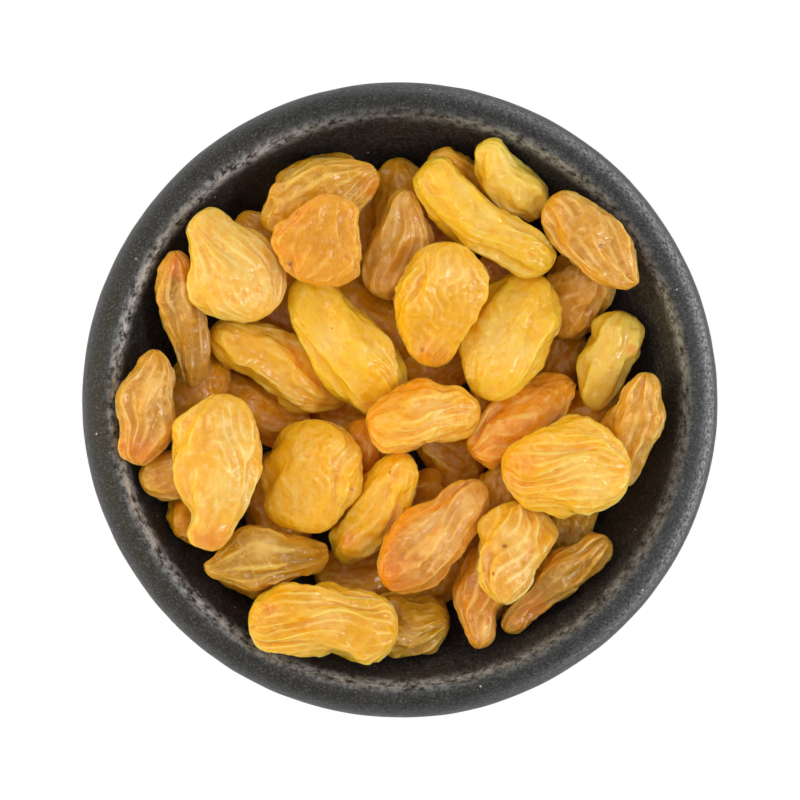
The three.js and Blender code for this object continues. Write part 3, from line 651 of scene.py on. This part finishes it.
class Shader:
    """A material's node tree with short ways to add the nodes used here, sizes in millimetres.

    Its colour is that of all the coats laid so far.
    """

    def __init__(self, name, colour=None):
        self.material = bpy.data.materials.new(name)
        self.material.use_nodes = True
        self.tree = self.material.node_tree
        self.surface = self.tree.nodes["Principled BSDF"]
        self.place = self.tree.nodes.new("ShaderNodeTexCoord").outputs["Object"]
        self.colour = colour

    def fill(self, node, **sockets):
        """Links or sets sockets by name, where a low line stands for a space."""
        for name, source in sockets.items():
            self.link(source, node.inputs[name.replace("_", " ")])

    def link(self, source, socket):
        """Links another node's output to a socket, or sets the socket to a plain value."""
        if hasattr(source, "is_output"):
            self.tree.links.new(source, socket)
        else:
            socket.default_value = source

    def value(self, name):
        """A value that the mesh holds for each corner."""
        node = self.tree.nodes.new("ShaderNodeAttribute")
        node.attribute_name = name
        return node.outputs["Fac"]

    def along_skin(self):
        """The skin's own space, drawn together lengthwise, so that a pattern in it runs along."""
        node = self.tree.nodes.new("ShaderNodeAttribute")
        node.attribute_name = "along_skin"
        return node.outputs["Vector"]

    def noise(self, size, detail=2.0, roughness=0.5):
        """Noise from 0 to 1 with features of the given size."""
        node = self.tree.nodes.new("ShaderNodeTexNoise")
        self.fill(node, Vector=self.place, Scale=1 / (size * MM), Detail=detail, Roughness=roughness)
        return node.outputs["Fac"]

    def grain(self, size, detail, roughness):
        """Noise from 0 to 1 in the skin's own space, so that it is drawn out lengthwise."""
        node = self.tree.nodes.new("ShaderNodeTexNoise")
        self.fill(node, Vector=self.along_skin(), Scale=1 / (size * MM), Detail=detail)
        self.fill(node, Roughness=roughness, Distortion=0.5)
        return node.outputs["Fac"]

    def creases(self, size, wander):
        """Fine meandering lines, 1 on them and falling off beside them, about half the size apart."""
        node = self.tree.nodes.new("ShaderNodeTexNoise")
        node.noise_type = "RIDGED_MULTIFRACTAL"
        node.normalize = True
        self.fill(node, Vector=self.along_skin(), Scale=1 / (size * MM), Detail=0.0)
        self.fill(node, Roughness=0.6, Offset=1.0, Gain=1.0, Distortion=wander)
        return node.outputs["Fac"]

    def dots(self, cell, inner, outer, share, held_from, whole_from):
        """Scattered dots, at most one in each cell of the given size.

        A dot has its share out to inner and nothing from outer on, both against the cell's size.
        Each cell has a random brightness, which decides if it holds a weak dot or a whole one.
        """
        node = self.tree.nodes.new("ShaderNodeTexVoronoi")
        self.fill(node, Vector=self.place, Scale=1 / (cell * MM))
        dot = self.span(node.outputs["Distance"], inner, outer, share, 0.0)
        return self.product(dot, self.span(node.outputs["Color"], held_from, whole_from))

    def span(self, source, low, high, to_low=0.0, to_high=1.0):
        """Stretches low..high of a value to to_low..to_high, and holds it there."""
        node = self.tree.nodes.new("ShaderNodeMapRange")
        self.fill(node, Value=source, From_Min=low, From_Max=high, To_Min=to_low, To_Max=to_high)
        return node.outputs["Result"]

    def product(self, one, other):
        """One value times another."""
        node = self.tree.nodes.new("ShaderNodeMath")
        node.operation = "MULTIPLY"
        self.link(one, node.inputs[0])
        self.link(other, node.inputs[1])
        return node.outputs["Value"]

    def lay(self, colour, amount):
        """Lays a colour over those laid before, by an amount from 0 to 1."""
        node = self.tree.nodes.new("ShaderNodeMix")
        node.data_type = "RGBA"
        below, above = [socket for socket in node.inputs if socket.type == "RGBA"]
        self.link(amount, node.inputs[0])
        self.link(self.colour, below)
        self.link(colour, above)
        self.colour = next(output for output in node.outputs if output.type == "RGBA")

    def paint(self, colour, share, source, low, high, least=0.0, times=None):
        """Lays a colour over, from its least where the source is low to its share where it is high.

        Where another value is given in times, the amount is multiplied by it.
        """
        amount = self.span(source, low, high, least, share)
        if times is not None:
            amount = self.product(amount, times)
        self.lay(colour, amount)

    def bump(self, height, depth, below=None):
        """A surface raised by up to depth where height is 1, over another such surface."""
        node = self.tree.nodes.new("ShaderNodeBump")
        self.fill(node, Height=height, Distance=depth * MM)
        if below is not None:
            self.fill(node, Normal=below)
        return node.outputs["Normal"]


def shade_of(colour, factors, added=(0.0, 0.0, 0.0)):
    """A colour with its channels multiplied and added to, no channel over 1."""
    parts = zip(colour[:3], factors, added)
    return (*(min(1.0, channel * factor + more) for channel, factor, more in parts), 1.0)


def raisin_material(slot):
    """Skin that light goes into, with a thin shine.

    It is deeper in patches and towards the tips, cloudy and grained, and pale on the crests and in
    fine threads, partly its own colour and partly painted highlight; sides turned from facing up
    get painted edge light. Sides that face away from the lamp glow with light let through.
    """
    known = bpy.data.materials.get("look_" + slot)
    if known:
        return known
    body = linear(*RAISIN_COLOURS[slot])
    deep = shade_of(body, (0.84, 0.74, 0.3))
    dark = shade_of(body, (0.68, 0.64, 0.5))
    light = shade_of(body, (1.03, 1.07, 1.0), added=(0.0, 0.0, 0.09))
    through = shade_of(body, (1.06, 0.98, 0.2))
    pale = linear(*RIDGE_COLOURS.get(slot, USUAL_RIDGE))
    cream_and_highlight = linear(255, 216, 128)
    orange = linear(222, 130, 30)
    brown = linear(150, 84, 14)
    yellow = linear(252, 194, 14)

    shader = Shader("look_" + slot, body)
    milk = shader.value("milk")
    lines = shader.value("lines")
    clouds = shader.grain(2.4, 5.0, 0.66)
    grain = shader.grain(0.95, 2.0, 0.5)

    # Coats of colour, one over the other: the colour, its share, and what it follows, from where
    # that starts to show to where it is full
    shader.paint(deep, 0.5, shader.noise(3.6, 3.0), 0.4, 0.7)
    shader.paint(light, 0.45, shader.noise(2.2, 3.0), 0.48, 0.72)
    shader.paint(orange, 0.4, shader.value("tips"), 0.2, 1.0)
    shader.paint(orange, 1.0, shader.value("warmth"), 0.0, 1.0)
    shader.paint(yellow, 1.0, shader.value("warmth"), 0.0, -1.0)
    shader.paint(deep, 0.45, clouds, 0.5, 0.36)
    shader.paint(pale, 0.5, clouds, 0.53, 0.67, times=milk)
    shader.paint(deep, 0.62, grain, 0.46, 0.28)
    shader.paint(pale, 0.72, grain, 0.55, 0.74, times=milk)
    shader.paint(light, 1.0, shader.value("tone"), 0.0, 0.5)
    shader.paint(dark, 1.0, shader.value("tone"), 0.0, -1.0)
    shader.paint(orange, 0.7, shader.value("orange"), 0.1, 0.9)
    # Pale touches: pale patches of the skin, partly painted highlights
    shader.paint(cream_and_highlight, 0.55, shader.value("pale"), 0.05, 1.0)
    # Painted highlight touches: weak pale patches painted where the skin would shine
    shader.paint(pale, 0.28, shader.value("painted_highlight"), 0.1, 0.9)
    # Pale on the crests, partly the skin's own lighter ridges and partly painted highlight
    shader.paint(pale, 0.54, shader.value("crest"), 0.1, 0.7)
    shader.lay(brown, shader.dots(3.4, 0.02, 0.035, 0.8, held_from=0.7, whole_from=0.72))
    shader.paint(brown, 0.75, shader.value("brown"), 0.4, 0.8)
    # Pale threads along the skin, partly its own and partly painted highlight along the ridges
    shader.paint(pale, 0.34, shader.creases(2.4, 0.6), 0.85, 0.99, times=lines)
    shader.paint(pale, 0.3, shader.creases(1.5, 1.3), 0.8, 1.0, times=lines)
    # Painted edge light: sides turned from facing up are painted lighter
    shader.paint(light, 0.35, shader.value("painted_edge_light"), 0.0, 0.6)
    shader.paint(through, 0.75, shader.value("glow"), 0.05, 0.8)
    # Painted edge light, pale at the very edge
    shader.paint(pale, 0.5, shader.value("painted_edge_light"), 0.7, 1.0)

    shader.fill(
        shader.surface,
        Base_Color=shader.colour,
        Roughness=shader.span(shader.noise(1.6, 3.0), 0.3, 0.7, 0.14, 0.28),
        Normal=shader.bump(grain, 0.32, below=shader.bump(clouds, 0.2)),
        Subsurface_Weight=1.0,
        Subsurface_Radius=(1.0, 0.86, 0.5),
        Subsurface_Scale=2 * MM,
        IOR=1.45,
        Specular_IOR_Level=0.4,
        Coat_Weight=0.32,
        Coat_Roughness=0.13,
        Coat_IOR=1.5,
        Coat_Normal=shader.bump(grain, 0.12),
    )
    return shader.material


def bowl_material():
    """Satin black stoneware with a pale speckle, scuffed and painted bright with a highlight where the
    lip turns in, and painted pale with a reflection on its outer side on the right.
    """
    black = linear(24, 22, 21)
    grey = linear(44, 43, 42)
    worn_and_lit = linear(228, 232, 232)
    chalk_and_sheen = linear(214, 217, 219)
    grit = linear(96, 99, 101)
    dust = linear(205, 200, 190)

    shader = Shader("look_bowl", black)
    mottle = shader.noise(1.1, 4.0, 0.65)
    edge = shader.value("edge")
    outer_chalk_and_sheen = shader.value("outer_chalk_and_sheen")
    shader.paint(grey, 1.0, mottle, 0.35, 0.7)
    shader.paint(grit, 0.5, shader.noise(0.3, 2.0), 0.5, 0.7)
    # Painted highlight on the scuffed inner edge of the lip, strongest on the left, which faces the key
    # lamp
    shader.paint(worn_and_lit, 1.0, shader.noise(1.3, 6.0, 0.8), 0.41, 0.58, times=edge)
    # Painted reflection of the lamps on the right, on the lip's outer side, over a chalky speckle
    shader.paint(chalk_and_sheen, 1.0, shader.noise(0.45, 4.0, 0.7), 0.4, 0.64, least=0.05, times=outer_chalk_and_sheen)
    shader.lay(dust, shader.dots(2.1, 0.04, 0.09, 0.8, held_from=0.62, whole_from=0.66))
    pits = shader.bump(mottle, 0.22)
    shader.fill(
        shader.surface,
        Base_Color=shader.colour,
        Roughness=shader.span(mottle, 0.3, 0.7, 0.42, 0.6),
        Normal=shader.bump(shader.noise(0.35, 3.0), 0.05, below=pits),
        IOR=1.5,
        Specular_IOR_Level=0.35,
    )
    return shader.material


# Bowl

# Fineness of the bowl's mesh, its edges along the profile in millimetres
BOWL_COLUMNS = 320
BOWL_EDGE = 0.62
CORNER_CUTS = 3

# Unevenness of the thrown wall, as (height, size) in millimetres, and between which heights over
# the table it comes in
UNEVENNESS = ((0.05, 16.0), (0.02, 2.6))
WALL_RISE = (0.9, 3.9)
FIRST_SEED = 5

# Two bands at the lip, in millimetres: how far inside the lip's inner edge and the bowl's
# outer edge the middle of each lies, and how broad it is. The inner band is scuffed glaze with a
# painted highlight, the outer band a chalky speckle with a painted reflection. Both come in
# between two depths below the top, and what lies within the lip's height of the top counts as
# the lip.
WORN_LIT_BAND = (0.75, 0.8)
RUBBED_SHEEN_BAND = (0.5, 1.05)
WEAR_AND_SHEEN_DEPTHS = (3, 1)
LIP_HEIGHT = 0.3

# How the two bands go round the bowl, with places in degrees from the right: the inner line
# swings about its usual share, brightest on the left where it faces the key lamp, and loses most
# of it in a gap at the back, and the outer band, painted brightest on the right near the lamps,
# fades out a quarter turn from where it is strongest
WORN_LIT_USUAL = 0.66
WORN_LIT_SWING = 0.34
WORN_LIT_LEAST_AT = -20
GAP_AT = 90
GAP_BREADTH = 22
GAP_LOSS = 0.7
RUBBED_SHEEN_MOST = 0.95
RUBBED_SHEEN_MOST_AT = 12


def rounded(points, times):
    """A line of points with its corners cut, again and again, into a smooth line."""
    for _ in range(times):
        near = 0.75 * points[:-1] + 0.25 * points[1:]
        far = 0.25 * points[:-1] + 0.75 * points[1:]
        points = np.concatenate([points[:1], np.stack([near, far], axis=1).reshape(-1, 2), points[-1:]])
    return points


def wear_and_sheen(radius, height, turn):
    """How much of each band of scuffing and painted light there is at each row and column of the bowl.

    The line along the lip's inner edge, scuffed glaze with a painted highlight, is strongest on the
    left, where it faces the key lamp, and least at the back; the lip's outer side is painted pale on
    the right, a painted reflection of the lamps there over a chalky speckle.
    """
    top = height.max()
    near_top = rise(height, top - WEAR_AND_SHEEN_DEPTHS[0], top - WEAR_AND_SHEEN_DEPTHS[1])
    inner_lip = radius[height >= top - LIP_HEIGHT].min()
    edge = hump(radius, inner_lip - WORN_LIT_BAND[0], WORN_LIT_BAND[1]) * near_top
    outer_chalk_and_sheen = hump(radius, radius.max() - RUBBED_SHEEN_BAND[0], RUBBED_SHEEN_BAND[1]) * near_top
    gap = hump(turn, math.radians(GAP_AT), math.radians(GAP_BREADTH))
    worn_and_lit = WORN_LIT_USUAL - WORN_LIT_SWING * np.cos(turn - math.radians(WORN_LIT_LEAST_AT))
    worn_and_lit = worn_and_lit * (1 - GAP_LOSS * gap)
    rubbed_and_sheen = RUBBED_SHEEN_MOST * np.clip(np.cos(turn - math.radians(RUBBED_SHEEN_MOST_AT)), 0, 1)
    return {"edge": edge[:, None] * worn_and_lit, "outer_chalk_and_sheen": outer_chalk_and_sheen[:, None] * rubbed_and_sheen}


def bowl():
    """The bowl: its solid's profile turned finely, with the slight unevenness of a thrown pot."""
    ends, rings = rings_of("bowl")
    profile = np.array([
        (0.0, ends[0][2]),
        *((math.hypot(*ring[0, :2]), ring[0, 2]) for ring in rings),
        (0.0, ends[1][2]),
    ])
    line = rounded(profile, CORNER_CUTS)
    reached = np.concatenate([[0], np.cumsum(np.linalg.norm(np.diff(line, axis=0), axis=1))])
    marks = np.linspace(0, reached[-1], int(reached[-1] / BOWL_EDGE))
    radius = np.interp(marks, reached, line[:, 0])
    height = np.interp(marks, reached, line[:, 1])
    turn = 2 * np.pi * np.arange(BOWL_COLUMNS) / BOWL_COLUMNS
    points = np.stack([
        radius[:, None] * np.cos(turn),
        radius[:, None] * np.sin(turn),
        np.repeat(height[:, None], BOWL_COLUMNS, axis=1),
    ], axis=-1)
    skin = Skin(points, ends[1] - ends[0])
    swell = 0.0
    for place, (most, size) in enumerate(UNEVENNESS):
        swell = swell + most * noise(skin.points, size, FIRST_SEED + place)
    skin.raise_by(rise(height[:, None], *WALL_RISE) * swell)
    piece = skin.to_object("glazed_bowl", wear_and_sheen(radius, height, turn))
    piece.data.materials.append(bowl_material())
    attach(piece, "root")
    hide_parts("bowl")


# Studio

WHITE = (1.0, 1.0, 1.0)
SURROUNDINGS = 0.68
FLOOR_SIZE = 6.0

# Lamps: name, width and place in metres, brightness and colour
LAMPS = [
    ("key_lamp", 0.16, (0.52, -0.12, 0.7), 23.5, WHITE),
    ("back_lamp", 0.3, (-0.45, 0.35, 0.8), 4.0, WHITE),
    ("warm_lamp", 0.4, (-0.62, -0.05, 0.3), 4.3, (1.0, 0.76, 0.3)),
    ("rim_lamp", 0.4, (0.8, -0.05, 0.16), 4.0, WHITE),
]


def add_lamp(name, size, place, brightness, colour):
    """A soft round lamp that faces the middle of the bowl, with the given radiance all over."""
    lamp = bpy.data.lights.new(name, "AREA")
    lamp.shape = "DISK"
    lamp.size = size
    lamp.energy = brightness * math.pi * math.pi * (size / 2) ** 2
    lamp.color = colour
    holder = bpy.data.objects.new(name, lamp)
    holder.location = place
    holder.rotation_euler = (-Vector(place)).to_track_quat("-Z", "Y").to_euler()
    bpy.context.scene.collection.objects.link(holder)


def studio():
    """White floor, even white surroundings, a key lamp on the right and softer lamps round the bowl."""
    world = bpy.data.worlds.new("surroundings")
    world.use_nodes = True
    background = world.node_tree.nodes["Background"]
    background.inputs["Color"].default_value = (*WHITE, 1.0)
    background.inputs["Strength"].default_value = SURROUNDINGS
    scene = bpy.context.scene
    scene.world = world
    scene.view_settings.view_transform = "Standard"
    for lamp in LAMPS:
        add_lamp(*lamp)
    bpy.ops.mesh.primitive_plane_add(size=FLOOR_SIZE, location=(0, 0, 0))
    floor = bpy.context.object
    floor.name = "floor"
    shader = Shader("look_floor")
    shader.fill(
        shader.surface,
        Base_Color=(0.0, 0.0, 0.0, 1.0),
        Specular_IOR_Level=0.0,
        Emission_Color=(*WHITE, 1.0),
        Emission_Strength=1.0,
    )
    floor.data.materials.append(shader.material)


def camera():
    """Looks straight down, with the photograph's top at +Y."""
    eye = bpy.data.cameras.new("camera")
    bowl_radius = (cad_high.x - cad_low.x) / 2
    half = math.atan(bowl_radius / (CAMERA_HEIGHT - WIDEST_HEIGHT) / BOWL_SHARE_OF_FRAME)
    eye.angle = 2 * half
    eye.clip_end = 20.0
    holder = bpy.data.objects.new("camera", eye)
    holder.location = (0.0, 0.0, CAMERA_HEIGHT)
    bpy.context.scene.collection.objects.link(holder)
    bpy.context.scene.camera = holder


camera()
studio()
bowl()
for row in frame["record"]["subparts"]:
    node = row["node"]
    for kind, edge in RAISIN_EDGES.items():
        if node.startswith(kind):
            raisin(node, row["material_slot"], edge)
